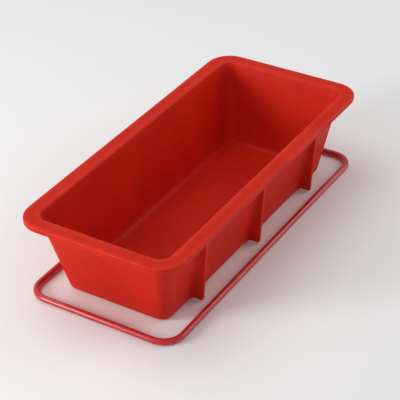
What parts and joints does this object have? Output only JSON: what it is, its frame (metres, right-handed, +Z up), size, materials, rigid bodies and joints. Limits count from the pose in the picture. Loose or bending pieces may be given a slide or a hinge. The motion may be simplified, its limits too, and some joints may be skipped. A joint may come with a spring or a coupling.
{
  "type": "soap loaf mould",
  "caption": "Flexible loaf-shaped soap mould with leaning walls, a flat rim, side fins and a separate support ring that seats under the rim.",
  "frame": {"origin": "middle of the underside of the mould's base, on the surface it stands on", "axes": "+X along the loaf, +Y across it, +Z up out of the mouth"},
  "size_m": [0.28, 0.1284, 0.066],
  "materials": {
    "silicone": "satin moulded silicone",
    "ring_plastic": "smooth glossy plastic coating",
    "wire_steel": "drawn steel wire"
  },
  "bodies": {
    "mould": {"mould_body": "silicone"},
    "ring": {"ring_coating": "ring_plastic", "ring_wire": "wire_steel"}
  },
  "joints": [
    {"name": "ring_lift", "type": "slide", "parent": "mould", "child": "ring", "axis": [0, 0, 1], "range_m": [0, 0.0588]}
  ]
}
